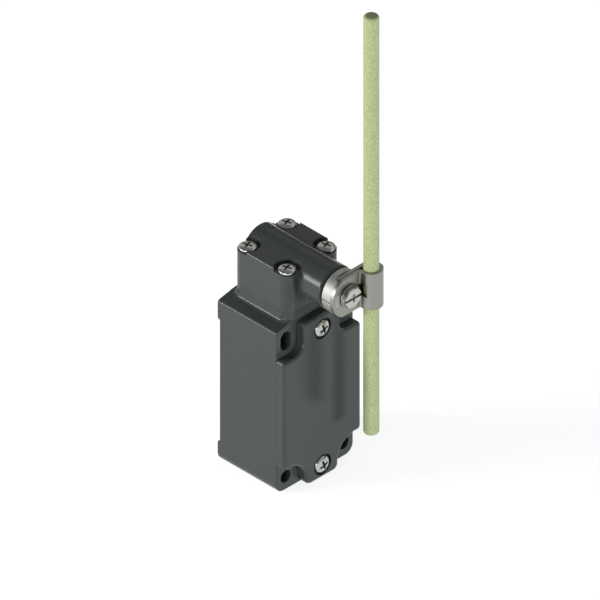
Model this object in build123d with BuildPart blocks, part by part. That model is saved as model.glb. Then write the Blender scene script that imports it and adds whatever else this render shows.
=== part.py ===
"""Rod lever limit switch: die-cast body, rotary head, clamped glass-fibre rod, snap-in contact block.

Millimetres. X runs to the right, +Z up, and the switch's front faces -Y.
The origin is on the mounting plane, midway between the two lower fixing holes.
"""
from build123d import *
import os

os.makedirs("parts", exist_ok=True)

# Body casting
body_width = 40.0
body_side_height = 72.2
fixing_pitch = 30.0
fixing_rise = 60.0
fixing_hole_radius = 2.65
fixing_height = 5.9
slot_travel = 2.8
slot_lift = 0.8
crown_radius = 75.0
body_corner = 4.0
edge_round = 1.2
pad_height = 1.1
pad_margin = 0.55
upper_pad_height = 8.3
pad_round = 0.7
front_round = 0.25
back_round = 0.6
wall = 3.5
cavity_floor = 10.0
cavity_roof = 51.7
cavity_back = 3.0
cavity_corner = 2.5

# Cover and its seal
cover_thickness = 4.3
cover_round = 1.3
upper_tongue_width = 18.6
lower_tongue_width = 16.6
cover_wing_bottom = 6.2
cover_wing_top = 54.5
upper_notch_round = 4.6
lower_notch_round = 8.6
crown_margin = 1.6
cover_relief = 1.4
relief_margin = 1.0
cover_screw_low = -0.1
cover_screw_high = 61.1
seal_width = 1.6
seal_thickness = 1.0

# Head casting
head_size = 28.2
head_back = 2.3
head_margin = 0.2
pedestal_rise = 2.28
pedestal_root = 1.0
head_corner = 3.9
axis_rise = 11.55
shoulder_rise = 6.8
barrel_radius = 8.85
barrel_front = 42.0
head_pocket_radius = 4.9
head_pocket_depth = 1.65
pedestal_fillet = 1.8

# Shaft train
bush_outer = 5.5
journal_radius = 4.0
rear_journal_radius = 3.0
cam_radius = 5.0
cam_flat = 4.1
cam_length = 10.0
bush_length = 10.0
rear_bush_gap = 1.2
rear_wall = 4.4
running_clearance = 0.03
seal_lip = 0.5
shaft_spigot_radius = 5.0
shaft_spigot_depth = 1.5

# Plungers and return spring
plunger_radius = 2.0
plunger_button_radius = 4.6
plunger_button_height = 1.6
tip_chamfer = 0.5
button_chamfer = 0.6
guide_round = 0.5
plunger_travel = 3.0
guide_bottom = 55.0
guide_length = 6.0
spring_wire = 0.35
spring_turns = 6
moving_gap = 0.3
tip_gap = 0.5

# Lever
hub_radius = 8.7
hub_gap = 0.7
leaf_step = 2.75
strip_thickness = 1.5
strip_width = 16.0
clamp_gap = 0.35
rod_radius = 3.0
rod_offset = 10.2
rod_bottom = 16.8
rod_top = 204.4
rod_round = 1.2
bend_radius = 0.6
key_width = 2.2
key_height = 5.2
key_offset = 6.2
window_start = 4.6

# Fasteners
cover_screw_head = 3.55
cover_screw_height = 2.8
cover_screw_shank = 2.0
cover_screw_reach = 5.0
cover_screw_recess = 4.4
head_screw_head = 3.45
head_screw_height = 1.7
head_screw_shank = 1.95
head_screw_reach = 6.3
thread_clearance = 0.05
clamp_screw_shank = 2.5
clamp_screw_reach = 9.0
clamp_washer_thickness = 0.8
clamp_hex = 8.0
clamp_hex_height = 1.7
clamp_hex_bevel = 0.5
clamp_hex_crown = 0.85
recess_width = 1.0
recess_depth = 1.0
small_recess_width = 0.8

# Contact block
block_width = 28.0
block_bottom = 18.5
block_top = 46.5
block_depth = 17.9
block_cover_thickness = 1.2
channel_width = 13.0
carrier_width = 4.8
carrier_depth = 8.0
bridge_width = 4.6
bridge_thickness = 0.8
bridge_length = 12.0
tip_radius = 1.3
tip_height = 0.6
terminal_x = 10.5
terminal_size = 6.6
saddle_size = 6.2
strip_gauge = 1.0
upper_terminal = 40.0
lower_terminal = 26.0
terminal_screw_head = 2.8
terminal_screw_shank = 1.6
block_screw_height = 33.0
fit_gap = 0.05
drill_allowance = 0.5
overlap = 0.1
small_chamfer = 0.3
plate_corner = 0.6
moulding_corner = 0.8

# Cable entry
entry_radius = 9.2
entry_back = 14.3

# Small sizes of the seals, screws and terminals
seal_margin = 1.2
seal_corner = 4.1
cover_corner = 1.6
tongue_corner = 2.6
screw_recess_depth = 1.9
barrel_round = 0.9
seal_radius = 7.4
seal_depth = 2.0
head_seal_outer = 8.2
head_seal_inner = 6.7
ring_gauge = 0.9
ring_groove = 3.4
ring_outer = 5.2
ring_opening = 2.6
serrations = 24
serration_size = 0.7
spring_radius = 3.4
earth_x = 12.0
earth_height = 14.2
earth_boss_radius = 3.0
earth_boss_height = 4.0
block_screw_shank = 1.5
block_screw_bite = 2.4
block_screw_sink = 9.0
hub_chamfer = 0.4
hub_step = -4.4
window_reach = 1.95
index_size = 0.5
bevel_width = 2.2
bevel_height = 1.4
clamp_washer_radius = 4.4
shelf_drop = 3.0
lid_lap = 0.6
channel_end = 2.5
terminal_bite = 4.0
terminal_screw_rise = 1.6
carrier_shoulder = 42.5
spring_room = 3.0
bridge_spring_radius = 1.3
bridge_wire = 0.2
tip_x = 4.6
plate_inner = 7.0
leg_inner = 3.4

# Places worked out from the sizes above
half_width = body_width / 2
bottom = -fixing_height
side_top = bottom + body_side_height
crown_drop = crown_radius - (crown_radius**2 - half_width**2) ** 0.5
crown_top = side_top + crown_drop
slot_height = fixing_rise + slot_lift
recess_start = fixing_hole_radius + pad_margin
recess_end = side_top - upper_pad_height
body_depth = head_back + head_size + head_margin
cover_face = body_depth + cover_thickness
head_seat = crown_top + pedestal_rise
axis_height = head_seat + axis_rise
head_height = axis_rise + shoulder_rise
head_pocket_floor = head_seat + head_height - head_pocket_depth
head_screw_pitch = head_size - 2 * head_corner
head_middle = head_back + head_size / 2
cavity_half = half_width - wall
cavity_start = pad_height + cavity_back
screw_seat = cover_face - screw_recess_depth
rear_bore_end = head_back + rear_wall
cam_back = head_middle - cam_length / 2
cam_front = head_middle + cam_length / 2
rear_bush_length = cam_back - rear_bore_end - rear_bush_gap
hub_back = barrel_front + hub_gap
hub_thickness = leaf_step + strip_thickness + clamp_gap
hub_front = hub_back + hub_thickness
back_leaf = hub_back + leaf_step
front_leaf = back_leaf + strip_thickness + clamp_gap
strip_front = front_leaf + strip_thickness
guide_top = guide_bottom + guide_length
cam_sweep = axis_height - cam_radius
button_top = cam_sweep - moving_gap
plunger_tip = block_top + plunger_travel + tip_gap
carrier_top = plunger_tip - fit_gap
carrier_foot = block_bottom + channel_end + plunger_travel + moving_gap
seal_outer_width = 2 * (cavity_half + seal_margin + seal_width / 2)
seal_outer_height = cavity_roof - cavity_floor + 2 * (seal_margin + seal_width / 2)
seal_inner_width = seal_outer_width - 2 * seal_width
seal_inner_height = seal_outer_height - 2 * seal_width
seal_inner_corner = seal_corner - seal_width
relief_width = seal_inner_width - 2 * relief_margin
relief_height = seal_inner_height - 2 * relief_margin
front_bush_front = barrel_front - seal_depth
front_bush_back = front_bush_front - bush_length
ring_back = front_bush_back - ring_gauge - fit_gap
clamp_head_front = strip_front + clamp_washer_thickness + clamp_hex_height
shaft_end = hub_back + shaft_spigot_depth
clamp_screw_length = strip_front + clamp_washer_thickness - shaft_end + clamp_screw_reach


def at(x, z, depth):
    """Plane facing the front, at a place on the body and a depth ahead of the mounting plane."""
    return Plane(origin=(x, -depth, z), x_dir=(1, 0, 0), z_dir=(0, -1, 0))


def crown(x, drop=0.0):
    """Height of the arched top at a distance from the middle."""
    return side_top + crown_drop - drop - (crown_radius - (crown_radius**2 - x**2) ** 0.5)


fixing_places = [(-fixing_pitch / 2, 0), (fixing_pitch / 2, 0)]
slot_places = [(-fixing_pitch / 2, slot_height), (fixing_pitch / 2, slot_height)]
half_pitch = head_screw_pitch / 2
head_screw_places = [(x * half_pitch, y * half_pitch - head_middle) for x in (-1, 1) for y in (-1, 1)]

# Housing: one die casting with an arched top, an open front and a shallow recess across the back
with BuildPart() as housing:
    with BuildSketch(at(0, 0, 0)):
        with BuildLine():
            Polyline(
                (-half_width, side_top),
                (-half_width, bottom),
                (half_width, bottom),
                (half_width, side_top),
            )
            RadiusArc((half_width, side_top), (-half_width, side_top), -crown_radius)
        make_face()
        fillet(vertices().sort_by(Axis.Y)[:2], body_corner)
        fillet(vertices().sort_by(Axis.Y)[-2:], edge_round)
    extrude(amount=body_depth)
    fillet(housing.faces().sort_by(Axis.Y)[0].edges(), front_round)
    fillet(housing.faces().sort_by(Axis.Y)[-1].edges(), back_round)
    with BuildSketch(Plane.YZ):
        with Locations((0, (recess_start + recess_end) / 2)):
            Rectangle(2 * pad_height, recess_end - recess_start)
        fillet(vertices().sort_by(Axis.X)[:2], small_chamfer)
    extrude(amount=half_width, both=True, mode=Mode.SUBTRACT)
    pad_edges = (
        housing.edges()
        .filter_by(Axis.X)
        .filter_by(lambda e: e.center().Y > -overlap)
        .filter_by(lambda e: min(abs(e.center().Z - recess_start), abs(e.center().Z - recess_end)) < overlap)
    )
    fillet(pad_edges, pad_round)
    with BuildSketch(Plane.XY.offset(side_top - pedestal_root)):
        with Locations((0, -head_middle)):
            RectangleRounded(head_size, head_size, head_corner)
    extrude(amount=head_seat - side_top + pedestal_root)
    pedestal_foot = (
        housing.edges()
        .filter_by(lambda e: side_top + 0.3 < e.center().Z < crown_top + 0.2)
        .filter_by(lambda e: abs(e.center().X) < head_size / 2 + 0.1)
        .filter_by(lambda e: e.bounding_box().size.Z < head_seat - crown_top)
        .filter_by(lambda e: -head_back - head_size - 0.05 < e.center().Y < -head_back + 0.05)
    )
    fillet(pedestal_foot, pedestal_fillet)
    with BuildSketch(at(0, 0, body_depth)):
        with Locations((0, (cavity_floor + cavity_roof) / 2)):
            RectangleRounded(2 * cavity_half, cavity_roof - cavity_floor, cavity_corner)
    extrude(amount=-(body_depth - cavity_start), mode=Mode.SUBTRACT)
    with BuildSketch(at(0, 0, body_depth)):
        with Locations((0, (cavity_floor + cavity_roof) / 2)):
            RectangleRounded(seal_outer_width, seal_outer_height, seal_corner)
            RectangleRounded(seal_inner_width, seal_inner_height, seal_inner_corner, mode=Mode.SUBTRACT)
    extrude(amount=-seal_thickness, mode=Mode.SUBTRACT)
    with BuildSketch(at(0, 0, 0)):
        with Locations(fixing_places):
            Circle(fixing_hole_radius)
        with Locations(slot_places):
            SlotCenterToCenter(slot_travel, 2 * fixing_hole_radius, rotation=90)
    extrude(amount=body_depth, mode=Mode.SUBTRACT)
    with BuildSketch(at(0, 0, body_depth)):
        with Locations((0, cover_screw_low), (0, cover_screw_high)):
            Circle(cover_screw_shank + thread_clearance)
    extrude(amount=-(cover_screw_reach + drill_allowance), mode=Mode.SUBTRACT)
    with BuildSketch(Plane.XY.offset(bottom)):
        with Locations((0, -entry_back)):
            Circle(entry_radius)
    extrude(amount=cavity_floor - bottom + overlap, mode=Mode.SUBTRACT)
    with BuildSketch(Plane.XY.offset(head_seat)):
        with Locations(head_screw_places):
            Circle(head_screw_shank + thread_clearance)
    extrude(amount=-(head_screw_reach + drill_allowance), mode=Mode.SUBTRACT)
    with BuildSketch(Plane.XY.offset(head_seat)):
        with Locations((0, -head_middle)):
            Circle(bush_outer)
    extrude(amount=-(head_seat - guide_bottom), mode=Mode.SUBTRACT)
    with BuildSketch(Plane.XY.offset(guide_bottom)):
        with Locations((0, -head_middle)):
            Circle(plunger_radius + 4 * fit_gap)
    extrude(amount=-(guide_bottom - cavity_roof), mode=Mode.SUBTRACT)
    with BuildSketch(at(0, 0, cavity_start)):
        with Locations((-earth_x, earth_height)):
            Circle(earth_boss_radius)
    extrude(amount=earth_boss_height)
    with BuildSketch(at(0, 0, cavity_start + earth_boss_height)):
        with Locations((-earth_x, earth_height)):
            Circle(terminal_screw_shank + thread_clearance)
    extrude(amount=-(earth_boss_height + drill_allowance), mode=Mode.SUBTRACT)
    with BuildSketch(at(0, 0, cavity_start)):
        with Locations((-terminal_x, block_screw_height), (terminal_x, block_screw_height)):
            Circle(block_screw_shank + thread_clearance)
    extrude(amount=-block_screw_bite, mode=Mode.SUBTRACT)
housing.part.label = "housing"

# Cover seal: a rubber ring in a groove round the open front
with BuildPart() as cover_seal:
    with BuildSketch(at(0, 0, body_depth)):
        with Locations((0, (cavity_floor + cavity_roof) / 2)):
            RectangleRounded(seal_outer_width, seal_outer_height, seal_corner)
            RectangleRounded(seal_inner_width, seal_inner_height, seal_inner_corner, mode=Mode.SUBTRACT)
    extrude(amount=-seal_thickness)
cover_seal.part.label = "cover_seal"

# Front cover: wings over the cavity and two tongues that run out between the fixing holes
upper_half = upper_tongue_width / 2
lower_half = lower_tongue_width / 2
tongue_top = crown(upper_half, crown_margin)
with BuildPart() as front_cover:
    with BuildSketch(at(0, 0, body_depth)):
        with BuildLine() as cover_outline:
            Polyline(
                (lower_half, bottom),
                (lower_half, cover_wing_bottom),
                (half_width, cover_wing_bottom),
                (half_width, cover_wing_top),
                (upper_half, cover_wing_top),
                (upper_half, tongue_top),
            )
            RadiusArc((upper_half, tongue_top), (-upper_half, tongue_top), -crown_radius)
            Polyline(
                (-upper_half, tongue_top),
                (-upper_half, cover_wing_top),
                (-half_width, cover_wing_top),
                (-half_width, cover_wing_bottom),
                (-lower_half, cover_wing_bottom),
                (-lower_half, bottom),
                (lower_half, bottom),
            )
        make_face()
        for x, y, corner_round in (
            (lower_half, cover_wing_bottom, lower_notch_round),
            (upper_half, cover_wing_top, upper_notch_round),
            (upper_half, tongue_top, cover_corner),
            (lower_half, bottom, tongue_corner),
            (half_width, cover_wing_top, cover_corner),
            (half_width, cover_wing_bottom, cover_corner),
        ):
            pair = vertices().filter_by(lambda v: abs(abs(v.X) - x) + abs(v.Y - y) < 0.01)
            fillet(pair, corner_round)
    extrude(amount=cover_thickness)
    fillet(front_cover.faces().sort_by(Axis.Y)[0].edges(), cover_round)
    with BuildSketch(at(0, 0, body_depth)):
        with Locations((0, (cavity_floor + cavity_roof) / 2)):
            RectangleRounded(relief_width, relief_height, cavity_corner)
    extrude(amount=cover_relief, mode=Mode.SUBTRACT)
    with BuildSketch(at(0, 0, cover_face)):
        with Locations((0, cover_screw_low), (0, cover_screw_high)):
            Circle(cover_screw_recess)
    extrude(amount=-screw_recess_depth, mode=Mode.SUBTRACT)
    with BuildSketch(at(0, 0, cover_face)):
        with Locations((0, cover_screw_low), (0, cover_screw_high)):
            Circle(cover_screw_shank + 4 * thread_clearance)
    extrude(amount=-cover_thickness, mode=Mode.SUBTRACT)
front_cover.part.label = "front_cover"


def pan_screw(head_radius, head_rise, shank_radius, reach, cross):
    """Pan-head screw standing on its seat, with its shank down the -Z axis and a cross recess."""
    dome = 0.5 * head_rise
    dome_radius = (head_radius**2 + dome**2) / (2 * dome)
    with BuildPart() as screw:
        with BuildSketch(Plane.XZ):
            with BuildLine():
                Polyline(
                    (0, head_rise),
                    (0, -reach),
                    (shank_radius, -reach),
                    (shank_radius, 0),
                    (head_radius, 0),
                    (head_radius, head_rise - dome),
                )
                RadiusArc((head_radius, head_rise - dome), (0, head_rise), -dome_radius)
            make_face()
        revolve(axis=Axis.Z)
        with BuildSketch(Plane.XY.offset(head_rise)):
            Rectangle(1.15 * head_radius, cross)
            Rectangle(cross, 1.15 * head_radius)
        extrude(amount=-0.55 * head_rise, mode=Mode.SUBTRACT)
    return screw.part


facing_front = Rotation(90, 0, 0)

# Cover screws: two captive pan-head screws
cover_screw = pan_screw(
    cover_screw_head,
    cover_screw_height,
    cover_screw_shank,
    cover_screw_reach + cover_thickness - screw_recess_depth,
    recess_width,
)
with BuildPart() as cover_screws:
    for z in (cover_screw_low, cover_screw_high):
        add(Pos(0, -screw_seat, z) * facing_front * cover_screw)
cover_screws.part.label = "cover_screws"

# Head casting: a square block with a barrel through it that carries the shaft
with BuildPart() as head_casting:
    with BuildSketch(Plane.XY.offset(head_seat)):
        with Locations((0, -head_middle)):
            RectangleRounded(head_size, head_size, head_corner)
    extrude(amount=head_height)
    fillet(head_casting.faces().sort_by(Axis.Z)[-1].edges(), edge_round)
    with BuildSketch(at(0, axis_height, head_back)):
        Circle(barrel_radius)
    extrude(amount=barrel_front - head_back)
    boss_edge = head_casting.faces().sort_by(Axis.Y)[0].edges()
    fillet(boss_edge, barrel_round)
    with BuildSketch(Plane.XY.offset(head_pocket_floor)):
        with Locations(head_screw_places):
            Circle(head_pocket_radius)
    extrude(amount=head_height, mode=Mode.SUBTRACT)
    with BuildSketch(at(0, axis_height, rear_bore_end)):
        Circle(bush_outer)
    extrude(amount=barrel_front - rear_bore_end, mode=Mode.SUBTRACT)
    with BuildSketch(at(0, axis_height, barrel_front)):
        Circle(seal_radius)
    extrude(amount=-seal_depth, mode=Mode.SUBTRACT)
    with BuildSketch(Plane.XY.offset(head_seat)):
        with Locations((0, -head_middle)):
            Circle(bush_outer)
    extrude(amount=axis_height - head_seat, mode=Mode.SUBTRACT)
    with BuildSketch(Plane.XY.offset(head_seat)):
        with Locations((0, -head_middle)):
            Circle(head_seal_outer)
            Circle(head_seal_inner, mode=Mode.SUBTRACT)
    extrude(amount=seal_thickness, mode=Mode.SUBTRACT)
    with BuildSketch(Plane.XY.offset(head_seat)):
        with Locations(head_screw_places):
            Circle(head_screw_shank + 3 * thread_clearance)
    extrude(amount=head_pocket_floor - head_seat, mode=Mode.SUBTRACT)
head_casting.part.label = "head_casting"

# Head seal: a flat rubber ring between the head and the body
with BuildPart() as head_seal:
    with BuildSketch(Plane.XY.offset(head_seat)):
        with Locations((0, -head_middle)):
            Circle(head_seal_outer)
            Circle(head_seal_inner, mode=Mode.SUBTRACT)
    extrude(amount=seal_thickness)
head_seal.part.label = "head_seal"

# Head screws: four pan-head screws in the corner pockets
head_screw = pan_screw(
    head_screw_head,
    head_screw_height,
    head_screw_shank,
    head_pocket_floor - head_seat + head_screw_reach,
    recess_width,
)
with BuildPart() as head_screws:
    with Locations([(x, y, head_pocket_floor) for x, y in head_screw_places]):
        add(head_screw)
head_screws.part.label = "head_screws"

# Bushes: two sintered sleeves pressed into the barrel
with BuildPart() as rear_bush:
    with BuildSketch(at(0, axis_height, rear_bore_end)):
        Circle(bush_outer)
        Circle(rear_journal_radius + running_clearance, mode=Mode.SUBTRACT)
    extrude(amount=rear_bush_length)
rear_bush.part.label = "rear_bush"

with BuildPart() as front_bush:
    with BuildSketch(at(0, axis_height, front_bush_back)):
        Circle(bush_outer)
        Circle(journal_radius + running_clearance, mode=Mode.SUBTRACT)
    extrude(amount=front_bush_front - front_bush_back)
front_bush.part.label = "front_bush"

# Shaft seal: a rubber lip ring pressed into the mouth of the barrel
with BuildPart() as shaft_seal:
    with BuildSketch(Plane.YZ):
        with BuildLine():
            Polyline(
                (-front_bush_front, axis_height + journal_radius + fit_gap),
                (-front_bush_front, axis_height + seal_radius),
                (-barrel_front, axis_height + seal_radius),
                (-barrel_front - seal_lip, axis_height + seal_radius),
                (-barrel_front - seal_lip, axis_height + shaft_spigot_radius + 2 * fit_gap),
                (-barrel_front + small_chamfer, axis_height + journal_radius + fit_gap),
                close=True,
            )
        make_face()
    revolve(axis=Axis((0, 0, axis_height), (0, 1, 0)))
shaft_seal.part.label = "shaft_seal"

# Shaft: two journals, a cam between them with one flat, and a toothed end for the lever
with BuildPart() as shaft:
    with BuildSketch(Plane.YZ):
        with BuildLine():
            Polyline(
                (-rear_bore_end - moving_gap, axis_height),
                (-rear_bore_end - moving_gap, axis_height + rear_journal_radius),
                (-cam_back, axis_height + rear_journal_radius),
                (-cam_back, axis_height + cam_radius),
                (-cam_front, axis_height + cam_radius),
                (-cam_front, axis_height + journal_radius),
                (-ring_back, axis_height + journal_radius),
                (-ring_back, axis_height + ring_groove),
                (-ring_back - ring_gauge, axis_height + ring_groove),
                (-ring_back - ring_gauge, axis_height + journal_radius),
                (-hub_back - fit_gap, axis_height + journal_radius),
                (-hub_back - fit_gap, axis_height + shaft_spigot_radius),
                (-shaft_end, axis_height + shaft_spigot_radius),
                (-shaft_end, axis_height),
                close=True,
            )
        make_face()
    revolve(axis=Axis((0, 0, axis_height), (0, 1, 0)))
    with BuildSketch(at(0, axis_height, cam_back)):
        with Locations((0, -cam_flat - cam_radius / 2)):
            Rectangle(2 * cam_radius, cam_radius)
    extrude(amount=cam_length, mode=Mode.SUBTRACT)
    with BuildSketch(at(0, axis_height, shaft_end)):
        Circle(clamp_screw_shank + thread_clearance)
    extrude(amount=-(clamp_screw_reach + drill_allowance), mode=Mode.SUBTRACT)
    with BuildSketch(at(0, axis_height, shaft_end)):
        with PolarLocations(shaft_spigot_radius, serrations):
            Rectangle(serration_size, serration_size, rotation=45)
    extrude(amount=-shaft_spigot_depth, mode=Mode.SUBTRACT)
shaft.part.label = "shaft"

# Retaining ring: a spring ring in the shaft's groove, behind the front bush
with BuildPart() as retaining_ring:
    with BuildSketch(at(0, axis_height, ring_back + fit_gap)):
        Circle(ring_outer)
        Circle(ring_groove + fit_gap, mode=Mode.SUBTRACT)
        with Locations((0, -ring_outer)):
            Rectangle(ring_opening, ring_outer, mode=Mode.SUBTRACT)
    extrude(amount=ring_gauge - 2 * fit_gap)
retaining_ring.part.label = "retaining_ring"

# Plunger guide: a brass sleeve in the bottom of the body's bore
with BuildPart() as plunger_guide:
    with BuildSketch(Plane.XY.offset(guide_bottom)):
        with Locations((0, -head_middle)):
            Circle(bush_outer)
            Circle(plunger_radius + running_clearance, mode=Mode.SUBTRACT)
    extrude(amount=guide_length)
    fillet(plunger_guide.faces().sort_by(Axis.Z)[-1].edges().sort_by(SortBy.LENGTH)[-1], guide_round)
plunger_guide.part.label = "plunger_guide"

# Head plunger: a stem with a mushroom top under the cam
with BuildPart() as head_plunger:
    with BuildSketch(Plane(origin=(0, -head_middle, 0), x_dir=(1, 0, 0), z_dir=(0, -1, 0))):
        with BuildLine():
            Polyline(
                (0, plunger_tip),
                (plunger_radius - tip_chamfer, plunger_tip),
                (plunger_radius, plunger_tip + tip_chamfer),
                (plunger_radius, button_top - plunger_button_height),
                (plunger_button_radius, button_top - plunger_button_height),
                (plunger_button_radius, button_top - button_chamfer),
                (plunger_button_radius - button_chamfer, button_top),
                (0, button_top),
                close=True,
            )
        make_face()
    revolve(axis=Axis((0, -head_middle, 0), (0, 0, 1)))
head_plunger.part.label = "head_plunger"


def coil_spring(bottom_end, top_end, radius, wire, turns):
    """Compression spring on the Z axis, its wire centred between two seats."""
    with BuildPart() as spring:
        rise = top_end - bottom_end - 2 * wire
        with BuildLine():
            path = Helix(pitch=rise / turns, height=rise, radius=radius, center=(0, 0, bottom_end + wire))
        with BuildSketch(Plane(origin=path @ 0, z_dir=path % 0)):
            Circle(wire)
        sweep(path=path, is_frenet=True)
    return spring.part


# Return spring: lifts the plunger and turns the lever upright
with BuildPart() as return_spring:
    with Locations((0, -head_middle, 0)):
        add(
            coil_spring(
                guide_top, button_top - plunger_button_height, spring_radius, spring_wire, spring_turns
            )
        )
return_spring.part.label = "return_spring"

# Lever hub: a disc with a toothed socket behind and a step and key that carry the clamp strip
with BuildPart() as lever_hub:
    with BuildSketch(at(0, axis_height, hub_back)):
        Circle(hub_radius)
    extrude(amount=hub_thickness)
    chamfer(lever_hub.faces().sort_by(Axis.Y)[-1].edges(), hub_chamfer)
    with BuildSketch(at(0, axis_height, back_leaf)):
        with Locations((hub_step + hub_radius, 0)):
            Rectangle(2 * hub_radius, 2.2 * hub_radius)
    extrude(amount=hub_thickness, mode=Mode.SUBTRACT)
    with BuildSketch(at(0, axis_height, hub_front)):
        with Locations((-key_offset, 0)):
            Rectangle(key_width, key_height)
    extrude(amount=strip_front - hub_front)
    with BuildSketch(at(0, axis_height, hub_back)):
        Circle(shaft_spigot_radius + fit_gap)
    extrude(amount=shaft_spigot_depth + fit_gap, mode=Mode.SUBTRACT)
    with BuildSketch(at(0, axis_height, hub_back)):
        Circle(clamp_screw_shank + 2 * thread_clearance)
    extrude(amount=hub_thickness, mode=Mode.SUBTRACT)
    with BuildSketch(at(0, axis_height, hub_front)):
        with Locations((-hub_radius, 0)):
            Rectangle(2 * index_size, index_size)
    extrude(amount=-(hub_thickness - index_size), mode=Mode.SUBTRACT)
lever_hub.part.label = "lever_hub"

# Clamp strip: one folded stainless strip, two leaves on the hub and a loop round the rod
loop_inner = rod_radius + fit_gap
loop_outer = loop_inner + strip_thickness
loop_middle = (loop_inner + loop_outer) / 2
rod_depth = back_leaf + loop_outer
bend_middle = bend_radius + strip_thickness / 2
bend_drop = strip_front + bend_radius - rod_depth
bend_x = rod_offset - ((loop_middle + bend_middle) ** 2 - bend_drop**2) ** 0.5
bend_place = Vector(bend_x, -(strip_front + bend_radius))
loop_place = Vector(rod_offset, -rod_depth)
toward_bend = (bend_place - loop_place).normalized()
with BuildPart() as clamp_strip:
    with BuildSketch(Plane.XY.offset(axis_height - strip_width / 2)):
        with BuildLine():
            Line((hub_step + fit_gap, -back_leaf), (rod_offset, -back_leaf))
            ThreePointArc(
                (rod_offset, -back_leaf),
                (rod_offset + loop_outer, -rod_depth),
                (rod_offset, -rod_depth - loop_outer),
            )
            far_point = loop_place + toward_bend * loop_outer
            outer_way = (toward_bend + Vector(0, -1)).normalized() * loop_outer
            ThreePointArc((rod_offset, -rod_depth - loop_outer), loop_place + outer_way, far_point)
            bend_way = (Vector(0, 1) - toward_bend).normalized() * bend_radius
            ThreePointArc(far_point, bend_place + bend_way, (bend_x, -strip_front))
            Line((bend_x, -strip_front), (-hub_radius, -strip_front))
            Line((-hub_radius, -strip_front), (-hub_radius, -front_leaf))
            Line((-hub_radius, -front_leaf), (bend_x, -front_leaf))
            near_point = loop_place + toward_bend * loop_inner
            inner_bend = (Vector(0, 1) - toward_bend).normalized() * (bend_radius + strip_thickness)
            ThreePointArc((bend_x, -front_leaf), bend_place + inner_bend, near_point)
            inner_way = (toward_bend + Vector(0, -1)).normalized() * loop_inner
            ThreePointArc(near_point, loop_place + inner_way, (rod_offset, -rod_depth - loop_inner))
            ThreePointArc(
                (rod_offset, -rod_depth - loop_inner),
                (rod_offset + loop_inner, -rod_depth),
                (rod_offset, -rod_depth + loop_inner),
            )
            Line((rod_offset, -rod_depth + loop_inner), (hub_step + fit_gap, -rod_depth + loop_inner))
            Line((hub_step + fit_gap, -rod_depth + loop_inner), (hub_step + fit_gap, -back_leaf))
        make_face()
    extrude(amount=strip_width)
    with BuildSketch(at(0, axis_height, hub_back)):
        with Locations((-hub_radius, 0)):
            Rectangle(2 * hub_radius, 3 * hub_radius)
        Circle(hub_radius, mode=Mode.SUBTRACT)
    extrude(amount=2 * hub_radius, mode=Mode.SUBTRACT)
    with BuildSketch(at(0, axis_height, hub_back)):
        Circle(clamp_screw_shank + 2 * thread_clearance)
    extrude(amount=strip_front - hub_back, mode=Mode.SUBTRACT)
    with BuildSketch(at(0, axis_height, front_leaf)):
        with Locations((-key_offset, 0)):
            Rectangle(key_width + 2 * fit_gap, key_height + 2 * fit_gap)
    extrude(amount=strip_thickness, mode=Mode.SUBTRACT)
    with BuildSketch(at(0, axis_height, front_leaf - overlap)):
        with Locations(((window_start + rod_offset) / 2, 0)):
            Rectangle(rod_offset - window_start, key_height)
    extrude(amount=rod_depth + window_reach - front_leaf, mode=Mode.SUBTRACT)
    with BuildSketch(at(rod_offset + loop_outer, axis_height - strip_width / 2, back_leaf)):
        Polygon((0, 0), (0, bevel_height), (-bevel_width, 0), align=None)
    extrude(amount=2 * loop_outer, mode=Mode.SUBTRACT)
clamp_strip.part.label = "clamp_strip"

# Clamp washer: a spring washer under the clamp screw
with BuildPart() as clamp_washer:
    with BuildSketch(at(0, axis_height, strip_front)):
        Circle(clamp_washer_radius)
        Circle(clamp_screw_shank + thread_clearance, mode=Mode.SUBTRACT)
    extrude(amount=clamp_washer_thickness)
clamp_washer.part.label = "clamp_washer"

# Clamp screw: hexagon head with a bevelled rim, a long slot and a cross, into the end of the shaft
bevel_top = clamp_hex / 3**0.5 + 0.1
with BuildPart() as clamp_screw:
    with BuildSketch(at(0, axis_height, strip_front + clamp_washer_thickness)):
        RegularPolygon(clamp_hex / 2, 6, major_radius=False)
    extrude(amount=clamp_hex_height)
    with BuildSketch(Plane.YZ):
        with BuildLine():
            Polyline(
                (-clamp_head_front, axis_height),
                (-clamp_head_front, axis_height + bevel_top - clamp_hex_crown),
                (-clamp_head_front + clamp_hex_bevel, axis_height + bevel_top),
                (-clamp_head_front + 2 * clamp_hex_height, axis_height + bevel_top),
                (-clamp_head_front + 2 * clamp_hex_height, axis_height),
                close=True,
            )
        make_face()
    revolve(axis=Axis((0, 0, axis_height), (0, 1, 0)), mode=Mode.INTERSECT)
    with BuildSketch(at(0, axis_height, clamp_head_front)):
        Rectangle(2 * clamp_hex, recess_width)
        Rectangle(recess_width, 0.55 * clamp_hex)
    extrude(amount=-recess_depth, mode=Mode.SUBTRACT)
    with BuildSketch(at(0, axis_height, strip_front + clamp_washer_thickness)):
        Circle(clamp_screw_shank)
    extrude(amount=-clamp_screw_length)
clamp_screw.part.label = "clamp_screw"

# Rod: a round glass-fibre rod held upright in the loop
with BuildPart() as rod:
    with BuildSketch(Plane.XY.offset(rod_bottom)):
        with Locations((rod_offset, -rod_depth)):
            Circle(rod_radius)
    extrude(amount=rod_top - rod_bottom)
    fillet(rod.edges(), rod_round)
rod.part.label = "rod"

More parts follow.
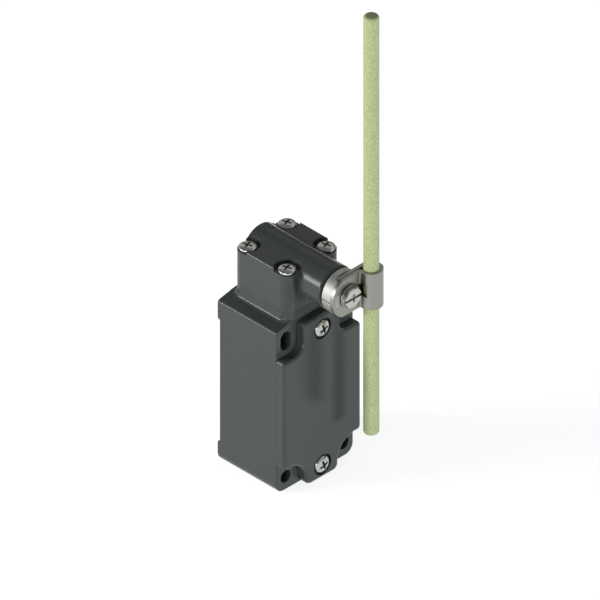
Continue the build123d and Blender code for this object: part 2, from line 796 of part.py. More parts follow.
# Contact block base: a moulded block with a channel for the carrier and four terminal shelves
block_front = cavity_start + block_depth
channel_back = head_middle - carrier_depth / 2 - fit_gap
shelf = block_front - shelf_drop
bridge_back = head_middle - bridge_width / 2
terminal_places = [
    (side * terminal_x, level) for side in (-1, 1) for level in (upper_terminal, lower_terminal)
]
block_screw_places = [(-terminal_x, block_screw_height), (terminal_x, block_screw_height)]
with BuildPart() as contact_block_base:
    with BuildSketch(at(0, 0, cavity_start)):
        with Locations((0, (block_bottom + block_top) / 2)):
            RectangleRounded(block_width, block_top - block_bottom, moulding_corner)
    extrude(amount=block_depth)
    with BuildSketch(at(0, 0, channel_back)):
        with Locations((0, (block_bottom + block_top) / 2)):
            Rectangle(channel_width, block_top - block_bottom - 2 * channel_end)
    extrude(amount=block_front - channel_back, mode=Mode.SUBTRACT)
    with BuildSketch(Plane.XY.offset(block_top)):
        with Locations((0, -head_middle)):
            Circle(plunger_radius + 2 * fit_gap)
    extrude(amount=-channel_end, mode=Mode.SUBTRACT)
    for x, z in terminal_places:
        side = 1 if x > 0 else -1
        with BuildSketch(at(0, 0, shelf)):
            with Locations((side * (block_width / 2 + channel_width / 2) / 2, z)):
                Rectangle((block_width - channel_width) / 2, terminal_size + 2 * fit_gap)
        extrude(amount=shelf_drop, mode=Mode.SUBTRACT)
        with BuildSketch(at(0, 0, shelf)):
            with Locations((side * (block_width / 2 + channel_width / 2) / 2, z)):
                Rectangle((block_width - channel_width) / 2, strip_gauge + 2 * fit_gap)
        extrude(amount=-(shelf - bridge_back), mode=Mode.SUBTRACT)
        with BuildSketch(at(0, 0, shelf)):
            with Locations((x, z)):
                Circle(terminal_screw_shank + thread_clearance)
        extrude(amount=-terminal_bite, mode=Mode.SUBTRACT)
    with BuildSketch(at(0, 0, block_front)):
        with Locations(block_screw_places):
            Circle(terminal_screw_head + 4 * fit_gap)
    extrude(amount=-block_screw_sink, mode=Mode.SUBTRACT)
    with BuildSketch(at(0, 0, cavity_start)):
        with Locations(block_screw_places):
            Circle(block_screw_shank + 2 * thread_clearance)
    extrude(amount=block_depth, mode=Mode.SUBTRACT)
contact_block_base.part.label = "contact_block_base"

# Contact block cover: a thin moulded plate over the channel
with BuildPart() as contact_block_cover:
    with BuildSketch(at(0, 0, block_front)):
        with Locations((0, (block_bottom + block_top) / 2)):
            RectangleRounded(channel_width + 2 * lid_lap, block_top - block_bottom, moulding_corner)
    extrude(amount=block_cover_thickness)
    chamfer(contact_block_cover.faces().sort_by(Axis.Y)[0].edges(), small_chamfer)
contact_block_cover.part.label = "contact_block_cover"

# Contact carrier: the block's own plunger, with a window for each bridge
closed_bridge = upper_terminal - strip_gauge / 2 - tip_height - bridge_thickness
open_bridge = lower_terminal + strip_gauge / 2 + tip_height + plunger_travel + 2 * fit_gap
with BuildPart() as contact_carrier:
    with BuildSketch(at(0, 0, head_middle - carrier_depth / 2)):
        with Locations((0, (carrier_foot + carrier_shoulder) / 2)):
            Rectangle(carrier_width, carrier_shoulder - carrier_foot)
    extrude(amount=carrier_depth)
    with BuildSketch(Plane.XY.offset(carrier_shoulder)):
        with Locations((0, -head_middle)):
            Circle(plunger_radius)
    extrude(amount=carrier_top - carrier_shoulder)
    chamfer(contact_carrier.faces().sort_by(Axis.Z)[-1].edges(), small_chamfer)
    with BuildSketch(at(0, 0, bridge_back - fit_gap)):
        with Locations((0, closed_bridge + bridge_thickness / 2 - spring_room / 2)):
            Rectangle(carrier_width, bridge_thickness + spring_room)
        with Locations((0, open_bridge + bridge_thickness / 2 + spring_room / 2)):
            Rectangle(carrier_width, bridge_thickness + spring_room)
    extrude(amount=bridge_width + 2 * fit_gap, mode=Mode.SUBTRACT)
contact_carrier.part.label = "contact_carrier"


def contact_bridge(level, tip_side):
    """Moving bridge plate with a silver tip near each end, above (1) or below (-1) the plate."""
    with BuildPart() as bridge:
        with BuildSketch(Plane.XY.offset(level)):
            with Locations((0, -head_middle)):
                RectangleRounded(bridge_length, bridge_width, plate_corner)
        extrude(amount=bridge_thickness)
        with BuildSketch(Plane.XY.offset(level + (bridge_thickness if tip_side > 0 else 0))):
            with Locations((-tip_x, -head_middle), (tip_x, -head_middle)):
                Circle(tip_radius)
        extrude(amount=tip_side * (tip_height - fit_gap))
    return bridge.part


# Contact bridges: the upper pair is closed at rest, the lower pair is open
with BuildPart() as closed_contact_bridge:
    add(contact_bridge(closed_bridge, 1))
closed_contact_bridge.part.label = "closed_contact_bridge"

with BuildPart() as open_contact_bridge:
    add(contact_bridge(open_bridge, -1))
open_contact_bridge.part.label = "open_contact_bridge"

# Bridge springs: one under the upper bridge and one over the lower bridge, inside the windows
with BuildPart() as bridge_springs:
    for low_end in (closed_bridge - spring_room, open_bridge + bridge_thickness):
        with Locations((0, -head_middle, 0)):
            add(coil_spring(low_end, low_end + spring_room, bridge_spring_radius, bridge_wire, 3))
bridge_springs.part.label = "bridge_springs"

# Fixed contacts: four angle strips, each with a leg that a bridge tip meets
with BuildPart() as fixed_contacts:
    for x, z in terminal_places:
        side = 1 if x > 0 else -1
        outer_x = block_width / 2
        with BuildSketch(at(0, 0, shelf)):
            with Locations((side * (outer_x + plate_inner) / 2, z)):
                Rectangle(outer_x - plate_inner, terminal_size)
            with Locations((x, z)):
                Circle(terminal_screw_shank + thread_clearance, mode=Mode.SUBTRACT)
        extrude(amount=strip_gauge)
        with BuildSketch(at(0, 0, bridge_back + fit_gap)):
            with Locations((side * (outer_x + leg_inner) / 2, z)):
                Rectangle(outer_x - leg_inner, strip_gauge)
            with Locations((x, z)):
                Circle(terminal_screw_shank + thread_clearance, mode=Mode.SUBTRACT)
        extrude(amount=shelf - bridge_back - fit_gap)
fixed_contacts.part.label = "fixed_contacts"

# Clamp plates: a square saddle under each terminal screw, for the wire ends
with BuildPart() as clamp_plates:
    for x, z in terminal_places:
        with BuildSketch(at(0, 0, shelf + strip_gauge)):
            with Locations((x, z)):
                RectangleRounded(saddle_size, saddle_size, plate_corner)
                Circle(terminal_screw_shank + thread_clearance, mode=Mode.SUBTRACT)
        extrude(amount=strip_gauge)
clamp_plates.part.label = "clamp_plates"

# Terminal screws: one pan-head screw in each terminal
terminal_screw = pan_screw(
    terminal_screw_head,
    terminal_screw_rise,
    terminal_screw_shank,
    2 * strip_gauge + terminal_bite - drill_allowance,
    small_recess_width,
)
with BuildPart() as terminal_screws:
    for x, z in terminal_places:
        add(Pos(x, -(shelf + 2 * strip_gauge), z) * facing_front * terminal_screw)
terminal_screws.part.label = "terminal_screws"

# Block screws: two long screws that hold the contact block to the body
block_screw = pan_screw(
    terminal_screw_head - 0.1,
    terminal_screw_rise,
    block_screw_shank,
    block_depth - block_screw_sink + block_screw_bite - small_chamfer,
    small_recess_width,
)
with BuildPart() as contact_block_screws:
    for x, z in block_screw_places:
        add(Pos(x, -(block_front - block_screw_sink), z) * facing_front * block_screw)
contact_block_screws.part.label = "contact_block_screws"

# Earth terminal: a cupped clamp and a screw on a boss in the bottom of the body
earth_seat = cavity_start + earth_boss_height
with BuildPart() as earth_clamp:
    with BuildSketch(at(0, 0, earth_seat)):
        with Locations((-earth_x, earth_height)):
            RectangleRounded(terminal_size, saddle_size, plate_corner)
            Circle(terminal_screw_shank + thread_clearance, mode=Mode.SUBTRACT)
    extrude(amount=strip_gauge)
earth_clamp.part.label = "earth_clamp"

earth_screw_solid = pan_screw(
    terminal_screw_head,
    terminal_screw_rise,
    terminal_screw_shank,
    strip_gauge + earth_boss_height,
    small_recess_width,
)
with BuildPart() as earth_screw:
    add(Pos(-earth_x, -(earth_seat + strip_gauge), earth_height) * facing_front * earth_screw_solid)
earth_screw.part.label = "earth_screw"

# Every piece in a file of its own
for piece in (
    housing,
    cover_seal,
    front_cover,
    cover_screws,
    head_casting,
    head_seal,
    head_screws,
    rear_bush,
    front_bush,
    shaft_seal,
    shaft,
    retaining_ring,
    plunger_guide,
    head_plunger,
    return_spring,
    lever_hub,
    clamp_strip,
    clamp_washer,
    clamp_screw,
    rod,
    contact_block_base,
    contact_block_cover,
    contact_carrier,
    closed_contact_bridge,
    open_contact_bridge,
    bridge_springs,
    fixed_contacts,
    clamp_plates,
    terminal_screws,
    contact_block_screws,
    earth_clamp,
    earth_screw,
):
    export_step(piece.part, f"parts/{piece.part.label}.step")
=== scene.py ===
"""Rod lever limit switch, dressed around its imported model, in metres."""

import math

import bpy
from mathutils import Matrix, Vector


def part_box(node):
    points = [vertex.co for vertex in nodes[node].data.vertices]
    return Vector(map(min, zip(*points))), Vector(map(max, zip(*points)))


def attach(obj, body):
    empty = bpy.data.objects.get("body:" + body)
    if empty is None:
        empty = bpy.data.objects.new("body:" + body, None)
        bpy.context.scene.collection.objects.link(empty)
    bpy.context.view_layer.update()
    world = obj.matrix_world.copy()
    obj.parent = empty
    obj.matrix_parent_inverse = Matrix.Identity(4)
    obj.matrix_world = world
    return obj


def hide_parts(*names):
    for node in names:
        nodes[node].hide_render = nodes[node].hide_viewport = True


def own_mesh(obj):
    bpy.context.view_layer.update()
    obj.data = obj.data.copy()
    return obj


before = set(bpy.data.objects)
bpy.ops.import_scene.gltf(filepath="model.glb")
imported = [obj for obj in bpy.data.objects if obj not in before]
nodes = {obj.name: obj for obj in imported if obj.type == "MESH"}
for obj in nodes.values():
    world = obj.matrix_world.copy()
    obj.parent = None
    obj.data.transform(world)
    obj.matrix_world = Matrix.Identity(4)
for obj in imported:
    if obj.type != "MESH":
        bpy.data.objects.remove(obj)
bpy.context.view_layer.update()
scene = bpy.context.scene
mm = 0.001

# Floor
# The switch stands on a pale matt sheet of paper that runs out of view on every side
# and keeps a soft shadow.
floor_size = 6.0
floor_gap = 0.2 * mm
paper_tone = 0.86
paper_glow = 0.78
floor_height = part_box("housing")[0].z
bpy.ops.object.select_all(action="DESELECT")
bpy.ops.mesh.primitive_plane_add(size=floor_size, location=(0.0, 0.0, floor_height - floor_gap))
floor = bpy.context.object
floor.name = "floor"
bpy.ops.object.transform_apply(location=True, rotation=True, scale=True)


def combine(tree, operation, first, second):
    """Math node on two terms, each an output of another node or a plain number."""
    node = tree.nodes.new("ShaderNodeMath")
    node.operation = operation
    for socket, term in zip(node.inputs, (first, second)):
        if isinstance(term, float):
            socket.default_value = term
        else:
            tree.links.new(term, socket)
    return node.outputs[0]


def seen_rays(tree):
    """One for camera, glossy and transmission rays, zero for the light that falls on things."""
    path = tree.nodes.new("ShaderNodeLightPath")
    straight = path.outputs["Is Camera Ray"]
    mirrored = combine(tree, "MAXIMUM", straight, path.outputs["Is Glossy Ray"])
    return combine(tree, "MAXIMUM", mirrored, path.outputs["Is Transmission Ray"])


floor_paper = bpy.data.materials.new("floor_paper")
floor_paper.use_nodes = True
paper = floor_paper.node_tree
paper.nodes.clear()
matt = paper.nodes.new("ShaderNodeBsdfDiffuse")
matt.inputs["Color"].default_value = (paper_tone, paper_tone, paper_tone, 1)
glow = paper.nodes.new("ShaderNodeEmission")
glow.inputs["Color"].default_value = (1, 1, 1, 1)
paper.links.new(combine(paper, "MULTIPLY", seen_rays(paper), paper_glow), glow.inputs["Strength"])
paper_mix = paper.nodes.new("ShaderNodeAddShader")
paper.links.new(matt.outputs[0], paper_mix.inputs[0])
paper.links.new(glow.outputs[0], paper_mix.inputs[1])
paper_out = paper.nodes.new("ShaderNodeOutputMaterial")
paper.links.new(paper_mix.outputs[0], paper_out.inputs["Surface"])
floor.data.materials.append(floor_paper)

# Daylight tent
# An even white sky lights the switch. What shines on it mirrors that sky darker above
# the left and low on the right, and the camera sees it white.
tent_fill = 0.12
tent_bright = 0.7
tent_dark = 0.2


def ramp(tree, value, start, end, low, high):
    """Carries the range from start to end over to the range from low to high."""
    node = tree.nodes.new("ShaderNodeMapRange")
    node.inputs["From Min"].default_value = start
    node.inputs["From Max"].default_value = end
    node.inputs["To Min"].default_value = low
    node.inputs["To Max"].default_value = high
    tree.links.new(value, node.inputs["Value"])
    return node.outputs["Result"]


world = bpy.data.worlds.new("tent")
scene.world = world
world.use_nodes = True
sky = world.node_tree
sky.nodes.clear()
even = sky.nodes.new("ShaderNodeBackground")
even.inputs["Color"].default_value = (1, 1, 1, 1)
even.inputs["Strength"].default_value = tent_fill
shown = sky.nodes.new("ShaderNodeBackground")
shown.inputs["Color"].default_value = (1, 1, 1, 1)
sky_place = sky.nodes.new("ShaderNodeTexCoord")
up_left = sky.nodes.new("ShaderNodeVectorMath")
up_left.operation = "DOT_PRODUCT"
up_left.inputs[1].default_value = (-0.9, 0, 1)
sky.links.new(sky_place.outputs["Generated"], up_left.inputs[0])
above_left = ramp(sky, up_left.outputs["Value"], 0.15, 0.6, tent_bright, tent_dark)
low_right = ramp(sky, up_left.outputs["Value"], -0.4, 0.0, tent_dark, tent_bright)
mirrored_sky = combine(sky, "MINIMUM", above_left, low_right)
sky_rays = sky.nodes.new("ShaderNodeLightPath")
sky_glow = combine(sky, "MAXIMUM", sky_rays.outputs["Is Camera Ray"], mirrored_sky)
sky.links.new(sky_glow, shown.inputs["Strength"])
sky_mix = sky.nodes.new("ShaderNodeMixShader")
sky.links.new(seen_rays(sky), sky_mix.inputs[0])
sky.links.new(even.outputs[0], sky_mix.inputs[1])
sky.links.new(shown.outputs[0], sky_mix.inputs[2])
sky_out = sky.nodes.new("ShaderNodeOutputWorld")
sky.links.new(sky_mix.outputs[0], sky_out.inputs["Surface"])

# Camera
# A true isometric view without perspective, from the front left and above, with room
# round the whole switch.
view_elevation = math.atan(math.sqrt(0.5))
view_scale = 0.2204
view_distance = 0.6
view_reach = 5.0
view_middle = Vector((-13.77, -36.93, 81.75)) * mm
bpy.ops.object.camera_add(
    location=view_middle + Vector((-1, -1, 1)).normalized() * view_distance,
    rotation=(math.pi / 2 - view_elevation, 0, -math.pi / 4),
)
camera = bpy.context.object
camera.name = "camera"
camera.data.type = "ORTHO"
camera.data.ortho_scale = view_scale
camera.data.clip_end = view_reach
scene.camera = camera
scene.view_settings.view_transform = "Standard"

# Lamps
# Soft boxes stand low at the left, in front and behind, the last two unseen by what
# shines. A higher one behind the left draws the light along the barrel and the edges.
lamp_aim = Vector((0.0, -0.02, 0.08))


def soft_box(name, place, width, height, power, tint=(1, 1, 1), mirrored=True):
    """Area lamp turned towards the middle of the switch."""
    bpy.ops.object.light_add(type="AREA", location=place)
    lamp = bpy.context.object
    lamp.name = name
    lamp.data.shape = "RECTANGLE"
    lamp.data.size = width
    lamp.data.size_y = height
    lamp.data.energy = power
    lamp.data.color = tint
    lamp.rotation_euler = (lamp_aim - Vector(place)).to_track_quat("-Z", "Y").to_euler()
    lamp.visible_glossy = mirrored


soft_box("left_lamp", (-1.2, -0.35, 0.10), 0.8, 0.18, 4.6)
soft_box("front_lamp", (0.15, -1.2, 0.12), 0.3, 0.2, 6.2, tint=(0.88, 0.96, 1.0), mirrored=False)
soft_box("back_lamp", (1.1, 0.6, 0.12), 0.6, 0.2, 3.5, mirrored=False)
soft_box("edge_lamp", (-1.0, 0.72, 0.38), 0.5, 0.36, 8.0, tint=(0.96, 0.98, 1.0))

# Cover and head
# Zinc die castings under a dark grey-green powder coat, satin and faintly pebbled, with
# their edges softened by the coat.


def finish(
    name,
    colour,
    roughness,
    metallic=0.0,
    specular=0.5,
    grain=0.05,
    grain_size=0.4 * mm,
    relief=0.004 * mm,
    soft_edge=0.2 * mm,
):
    """Shader with a fine mottle in its colour and gloss, a faint relief and softened edges."""
    gloss_spread = 0.05
    material = bpy.data.materials.new(name)
    material.use_nodes = True
    tree = material.node_tree
    shader = tree.nodes["Principled BSDF"]
    shader.inputs["Roughness"].default_value = roughness
    shader.inputs["Metallic"].default_value = metallic
    shader.inputs["Specular IOR Level"].default_value = specular
    place = tree.nodes.new("ShaderNodeTexCoord")
    mottle = tree.nodes.new("ShaderNodeTexNoise")
    mottle.inputs["Scale"].default_value = 1 / grain_size
    mottle.inputs["Detail"].default_value = 3.0
    tree.links.new(place.outputs["Object"], mottle.inputs["Vector"])
    speckle = mottle.outputs["Fac"]
    shade = tree.nodes.new("ShaderNodeVectorMath")
    shade.operation = "SCALE"
    shade.inputs[0].default_value = colour
    tree.links.new(ramp(tree, speckle, 0.25, 0.75, 1 - grain, 1 + grain), shade.inputs["Scale"])
    tree.links.new(shade.outputs["Vector"], shader.inputs["Base Color"])
    gloss = ramp(tree, speckle, 0.0, 1.0, roughness - gloss_spread, roughness + gloss_spread)
    tree.links.new(gloss, shader.inputs["Roughness"])
    bump = tree.nodes.new("ShaderNodeBump")
    bump.inputs["Distance"].default_value = relief
    bump.inputs["Strength"].default_value = 0.6
    tree.links.new(speckle, bump.inputs["Height"])
    rounding = tree.nodes.new("ShaderNodeBevel")
    rounding.samples = 6
    rounding.inputs["Radius"].default_value = soft_edge
    tree.links.new(rounding.outputs["Normal"], bump.inputs["Normal"])
    tree.links.new(bump.outputs["Normal"], shader.inputs["Normal"])
    return material


def dress(material, *names):
    """Gives CAD nodes a material."""
    for name in names:
        piece = nodes[name]
        piece.data.materials.clear()
        piece.data.materials.append(material)


powder_coat = finish(
    "powder_coat",
    (0.070, 0.081, 0.077),
    roughness=0.22,
    specular=0.28,
    grain_size=0.5 * mm,
    relief=0.002 * mm,
    soft_edge=0.35 * mm,
)
dress(powder_coat, "front_cover", "head_casting")

# Housing and cable entry
# The housing is a casting under the same coat. The bore in its underside, for the
# cable, has a thread cut into its wall, 1.5 mm from crest to crest.
entry_axis = Vector((0, -14.3 * mm, 0))
entry_reach = 10.2 * mm
entry_top = 9.6 * mm
thread_pitch = 1.5 * mm
threaded_coat = powder_coat.copy()
threaded_coat.name = "threaded_coat"
thread = threaded_coat.node_tree
thread_place = thread.nodes["Texture Coordinate"].outputs["Object"]
flat_place = thread.nodes.new("ShaderNodeVectorMath")
flat_place.operation = "MULTIPLY"
flat_place.inputs[1].default_value = (1, 1, 0)
thread.links.new(thread_place, flat_place.inputs[0])
from_axis = thread.nodes.new("ShaderNodeVectorMath")
from_axis.operation = "DISTANCE"
from_axis.inputs[1].default_value = entry_axis
thread.links.new(flat_place.outputs["Vector"], from_axis.inputs[0])
level = thread.nodes.new("ShaderNodeSeparateXYZ")
thread.links.new(thread_place, level.inputs[0])
in_bore = combine(thread, "LESS_THAN", from_axis.outputs["Value"], entry_reach)
below_top = combine(thread, "LESS_THAN", level.outputs["Z"], entry_top)
threaded_wall = combine(thread, "MULTIPLY", in_bore, below_top)
ridges = combine(thread, "PINGPONG", level.outputs["Z"], thread_pitch / 2)
groove = thread.nodes.new("ShaderNodeBump")
groove.inputs["Distance"].default_value = 1.0
groove.inputs["Strength"].default_value = 1.0
thread.links.new(combine(thread, "MULTIPLY", threaded_wall, ridges), groove.inputs["Height"])
thread.links.new(thread.nodes["Bump"].outputs["Normal"], groove.inputs["Normal"])
thread.links.new(groove.outputs["Normal"], thread.nodes["Principled BSDF"].inputs["Normal"])
dress(threaded_coat, "housing")

# Seals
# Moulded black rubber, matt, pressed under the cover, under the head and into the mouth
# of the barrel. Only the ring behind the lever shows.
black_rubber = finish("black_rubber", (0.018, 0.018, 0.018), roughness=0.7, specular=0.3)
dress(black_rubber, "cover_seal", "head_seal", "shaft_seal")

# Pan-head screws
# Zinc-plated steel, cold-formed round heads with a pressed cross, two on the cover
# and four in the head's corner pockets.
head_screw_radius = 3.45 * mm
head_screw_rise = 1.7 * mm
head_screw_shank = 1.9 * mm
cover_screw_radius = 3.55 * mm
cover_screw_rise = 2.8 * mm
cover_screw_shank = 1.95 * mm
shank_reach = 4.0 * mm
zinc_plate = finish(
    "zinc_plate",
    (0.50, 0.51, 0.48),
    roughness=0.24,
    metallic=1.0,
    grain=0.04,
    grain_size=0.3 * mm,
    relief=0.002 * mm,
)


def pick_faces(mesh, test):
    """Selects the faces that pass a test and leaves the mesh open for editing."""
    bpy.ops.object.mode_set(mode="OBJECT")
    for face in mesh.polygons:
        face.select = test(face)
    bpy.ops.object.mode_set(mode="EDIT")


def faces_up(face):
    """True for a face that lies level and looks up."""
    return face.normal.z > 0.9


def faces_down(face):
    """True for a face that lies level and looks down."""
    return face.normal.z < -0.9


def settle(piece):
    """Puts a piece's place, turn and size into its mesh."""
    bpy.ops.object.select_all(action="DESELECT")
    piece.select_set(True)
    bpy.context.view_layer.objects.active = piece
    bpy.ops.object.transform_apply(location=True, rotation=True, scale=True)


def carve(piece, tool, operation="DIFFERENCE"):
    """Cuts one closed shape out of another, or down to it, and deletes the tool."""
    cut = piece.modifiers.new("cut", "BOOLEAN")
    cut.operation = operation
    cut.solver = "EXACT"
    cut.object = tool
    bpy.context.view_layer.objects.active = piece
    bpy.ops.object.modifier_apply(modifier=cut.name)
    bpy.data.objects.remove(tool)


def wedge(length, width, depth, top, taper, turn):
    """Long wedge standing point down, for one bar of a cross or a slot."""
    bpy.ops.object.select_all(action="DESELECT")
    bpy.ops.mesh.primitive_cube_add(size=1.0, location=(0, 0, top - depth / 2))
    bar = bpy.context.object
    bar.scale = (length, width, depth)
    bar.rotation_euler = (0, 0, turn)
    settle(bar)
    bpy.ops.object.mode_set(mode="EDIT")
    pick_faces(bar.data, faces_down)
    bpy.ops.transform.resize(value=(taper, taper, 1), center_override=(0, 0, 0))
    bpy.ops.object.mode_set(mode="OBJECT")
    return bar


def pan_head(name, radius, rise, shank):
    """Head standing on z = 0 with its dome up, a pressed cross and its shank below."""
    rim = 0.45 * rise
    dome_steps = 8
    dome_reach = 0.9 * radius
    cross_length = 1.5 * radius
    cross_width = 0.36 * radius
    cross_depth = 0.85 * rise
    cross_top = 1.02 * rise
    cross_turn = 0.3
    bpy.ops.object.select_all(action="DESELECT")
    bpy.ops.mesh.primitive_cylinder_add(
        vertices=64, radius=radius, depth=rim, location=(0, 0, rim / 2)
    )
    head = bpy.context.object
    head.name = name
    settle(head)
    bpy.ops.object.mode_set(mode="EDIT")
    bpy.ops.mesh.select_mode(type="FACE")
    pick_faces(head.data, faces_up)
    for step in range(dome_steps):
        before, now = (turn / dome_steps * math.pi / 2 for turn in (step, step + 1))
        bpy.ops.mesh.inset(thickness=dome_reach * (math.cos(before) - math.cos(now)))
        lift = (rise - rim) * (math.sin(now) - math.sin(before))
        bpy.ops.transform.translate(value=(0, 0, lift))
    pick_faces(head.data, faces_down)
    bpy.ops.mesh.inset(thickness=radius - shank)
    bpy.ops.mesh.extrude_region_move(TRANSFORM_OT_translate={"value": (0, 0, -shank_reach)})
    bpy.ops.object.mode_set(mode="OBJECT")
    for turn in (cross_turn, cross_turn + math.pi / 2):
        carve(head, wedge(cross_length, cross_width, cross_depth, cross_top, 0.75, turn))
    bpy.ops.object.shade_smooth_by_angle(angle=math.radians(35))
    head.data.materials.append(zinc_plate)
    return head


def set_screw(pattern, name, place, facing_front, node, body="body"):
    """Copies a fastener to its seat, with its own mesh, and lets it ride."""
    screw = pattern.copy()
    screw.data = pattern.data.copy()
    screw.name = name
    bpy.context.collection.objects.link(screw)
    screw.rotation_euler = (math.pi / 2 if facing_front else 0, 0, 0)
    screw.location = place
    settle(screw)
    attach(screw, body)
    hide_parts(node)


head_low, head_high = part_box("head_screws")
head_screw = pan_head("head_screw", head_screw_radius, head_screw_rise, head_screw_shank)
head_sides = {"left": head_low.x + head_screw_radius, "right": head_high.x - head_screw_radius}
head_ends = {"front": head_low.y + head_screw_radius, "rear": head_high.y - head_screw_radius}
for side, x in head_sides.items():
    for end, y in head_ends.items():
        seat = (x, y, head_high.z - head_screw_rise)
        set_screw(head_screw, f"head_screw_{end}_{side}", seat, False, "head_screws")
bpy.data.objects.remove(head_screw)

cover_low, cover_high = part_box("cover_screws")
cover_screw = pan_head("cover_screw", cover_screw_radius, cover_screw_rise, cover_screw_shank)
cover_ends = {
    "lower": cover_low.z + cover_screw_radius,
    "upper": cover_high.z - cover_screw_radius,
}
for end, z in cover_ends.items():
    seat = (0.0, cover_low.y + cover_screw_rise, z)
    set_screw(cover_screw, f"cover_screw_{end}", seat, True, "cover_screws")
bpy.data.objects.remove(cover_screw)

# Lever hub and clamp strip
# A turned hub on the shaft's end and a strip of stainless steel folded round the rod,
# both tumbled to a soft grey sheen.
hub_metal = finish(
    "hub_metal",
    (0.46, 0.46, 0.43),
    roughness=0.56,
    metallic=1.0,
    grain_size=0.25 * mm,
    relief=0.002 * mm,
)
stainless = finish(
    "stainless",
    (0.305, 0.305, 0.277),
    roughness=0.38,
    metallic=1.0,
    grain=0.04,
    grain_size=0.25 * mm,
    relief=0.002 * mm,
)
dress(hub_metal, "lever_hub")
dress(stainless, "clamp_strip")

# Clamp washer
# Plated flat washer with a rounded rim, between the strip and the screw's head.
# The screw's shank goes through its hole.
washer_radius = 4.8 * mm
washer_hole_radius = 2.7 * mm
washer_low, washer_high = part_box("clamp_washer")
washer_depth = washer_high.y - washer_low.y


def round_edges(piece, width, segments):
    """Bevels a piece's sharp edges and smooths what is round."""
    edges = piece.modifiers.new("edges", "BEVEL")
    edges.width = width
    edges.segments = segments
    edges.limit_method = "ANGLE"
    bpy.ops.object.select_all(action="DESELECT")
    piece.select_set(True)
    bpy.context.view_layer.objects.active = piece
    bpy.ops.object.modifier_apply(modifier=edges.name)
    bpy.ops.object.shade_smooth_by_angle(angle=math.radians(30))


bpy.ops.object.select_all(action="DESELECT")
bpy.ops.mesh.primitive_cylinder_add(
    vertices=96, radius=washer_radius, depth=washer_depth, location=(0, 0, washer_depth / 2)
)
washer = bpy.context.object
settle(washer)
bpy.ops.mesh.primitive_cylinder_add(
    vertices=64, radius=washer_hole_radius, depth=3 * washer_depth, location=(0, 0, 0)
)
carve(washer, bpy.context.object)
round_edges(washer, 0.25 * mm, 3)
washer.data.materials.append(stainless)
washer_seat = (0.0, washer_high.y, (washer_low.z + washer_high.z) / 2)
set_screw(washer, "flat_washer", washer_seat, True, "clamp_washer", "lever")
bpy.data.objects.remove(washer)

# Clamp screw
# Plated hexagon screw that holds hub, washer and strip on the shaft. Its crown is
# turned, with a slot right across and a short cross bar.
clamp_low, clamp_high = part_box("clamp_screw")
hex_flat = (clamp_high.z - clamp_low.z) / 2
hex_rise = 1.7 * mm
crown_foot = hex_flat + 3.3 * mm
crown_top = hex_flat - 0.3 * mm
crown_depth = 2.1 * mm
crown_middle = 0.65 * mm
recess_top = hex_rise + 0.1 * mm
bpy.ops.object.select_all(action="DESELECT")
bpy.ops.mesh.primitive_cylinder_add(
    vertices=6,
    radius=hex_flat / math.cos(math.pi / 6),
    depth=hex_rise,
    location=(0, 0, hex_rise / 2),
)
clamp_head = bpy.context.object
clamp_head.rotation_euler = (0, 0, math.pi / 6)
settle(clamp_head)
bpy.ops.mesh.primitive_cone_add(
    vertices=96,
    radius1=crown_foot,
    radius2=crown_top,
    depth=crown_depth,
    location=(0, 0, crown_middle),
)
carve(clamp_head, bpy.context.object, "INTERSECT")
carve(clamp_head, wedge(3 * hex_flat, 1.1 * mm, 1.2 * mm, recess_top, 1.0, 0.0))
carve(clamp_head, wedge(1.2 * mm, 5.0 * mm, 1.4 * mm, recess_top, 0.7, 0.0))
round_edges(clamp_head, 0.12 * mm, 2)
clamp_head.data.materials.append(zinc_plate)
clamp_seat = (0.0, clamp_low.y + hex_rise, (clamp_low.z + clamp_high.z) / 2)
set_screw(clamp_head, "clamp_head", clamp_seat, True, "clamp_screw", "lever")
bpy.data.objects.remove(clamp_head)

# Rod
# A pultruded rod of glass fibre in yellow-green resin, satin, with fine slanting fibre
# specks in two tones. It is held in the strip's loop.
fibre_size = 0.36 * mm
fibre_slant = math.radians(35)
fibre_relief = 0.02 * mm
glass_fibre = finish(
    "glass_fibre", (0.56, 0.64, 0.30), roughness=0.55, specular=0.3, relief=0.002 * mm
)
fibres = glass_fibre.node_tree
stretch = fibres.nodes.new("ShaderNodeMapping")
stretch.inputs["Rotation"].default_value = (0, fibre_slant, 0)
stretch.inputs["Scale"].default_value = (1, 1, 0.45)
fibres.links.new(fibres.nodes["Texture Coordinate"].outputs["Object"], stretch.inputs["Vector"])
strand = fibres.nodes.new("ShaderNodeTexNoise")
strand.inputs["Scale"].default_value = 1 / fibre_size
strand.inputs["Detail"].default_value = 2.0
strand.inputs["Distortion"].default_value = 1.2
fibres.links.new(stretch.outputs["Vector"], strand.inputs["Vector"])
speck = fibres.nodes.new("ShaderNodeValToRGB")
speck_tones = ((0.40, (0.47, 0.55, 0.25, 1)), (0.62, (0.70, 0.77, 0.43, 1)))
for stop, (position, tone) in zip(speck.color_ramp.elements, speck_tones):
    stop.position = position
    stop.color = tone
fibres.links.new(strand.outputs["Fac"], speck.inputs["Fac"])
fibres.links.new(speck.outputs["Color"], fibres.nodes["Principled BSDF"].inputs["Base Color"])
weave = fibres.nodes["Bump"]
weave.inputs["Distance"].default_value = fibre_relief
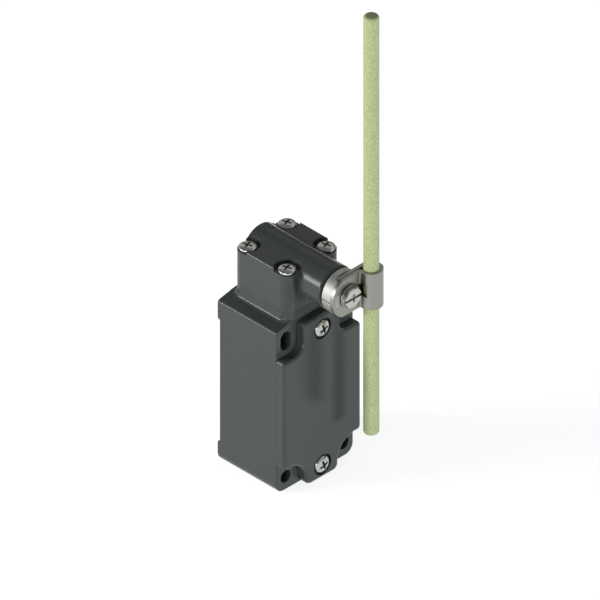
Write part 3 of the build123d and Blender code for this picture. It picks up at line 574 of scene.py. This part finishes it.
fibres.links.new(strand.outputs["Fac"], weave.inputs["Height"])
dress(glass_fibre, "rod")

# Shaft, bushes and contact block
# Ground steel shaft and plunger in oiled bronze bushes, and a moulded contact block
# with brass contacts, plated clamps and a red carrier. All of them are inside.
shaft_steel = finish("shaft_steel", (0.45, 0.45, 0.45), roughness=0.3, metallic=1.0)
dress(shaft_steel, "shaft", "retaining_ring", "head_plunger", "bridge_springs")
bush_bronze = finish("bush_bronze", (0.55, 0.38, 0.18), roughness=0.5, metallic=1.0)
dress(bush_bronze, "rear_bush", "front_bush", "plunger_guide")
contact_brass = finish("contact_brass", (0.70, 0.50, 0.22), roughness=0.35, metallic=1.0)
dress(contact_brass, "fixed_contacts", "closed_contact_bridge", "open_contact_bridge")
dress(zinc_plate, "clamp_plates", "terminal_screws", "contact_block_screws")
dress(zinc_plate, "earth_clamp", "earth_screw")
block_moulding = finish("block_moulding", (0.06, 0.06, 0.065), roughness=0.5)
dress(block_moulding, "contact_block_base")
cover_moulding = finish("cover_moulding", (0.35, 0.33, 0.28), roughness=0.3)
dress(cover_moulding, "contact_block_cover")
carrier_moulding = finish("carrier_moulding", (0.45, 0.08, 0.05), roughness=0.5)
dress(carrier_moulding, "contact_carrier")

# Return spring
# The wound coil under the plunger's collar, on its lower seat. The plunger travels 3 mm down onto
# it; the coil is fixed to the body and keeps its length.
merge_gap = 0.0005 * mm
coil = nodes["return_spring"].copy()
coil.data = nodes["return_spring"].data.copy()
coil.name = "return_coil"
bpy.context.collection.objects.link(coil)
coil.parent = None
bpy.ops.object.select_all(action="DESELECT")
coil.select_set(True)
bpy.context.view_layer.objects.active = coil
bpy.ops.object.mode_set(mode="EDIT")
bpy.ops.mesh.select_all(action="SELECT")
bpy.ops.mesh.remove_doubles(threshold=merge_gap)
bpy.ops.object.mode_set(mode="OBJECT")
bpy.ops.object.shade_smooth_by_angle(angle=math.radians(40))
coil.data.materials.clear()
coil.data.materials.append(shaft_steel)
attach(coil, "body")
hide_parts("return_spring")
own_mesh(coil)
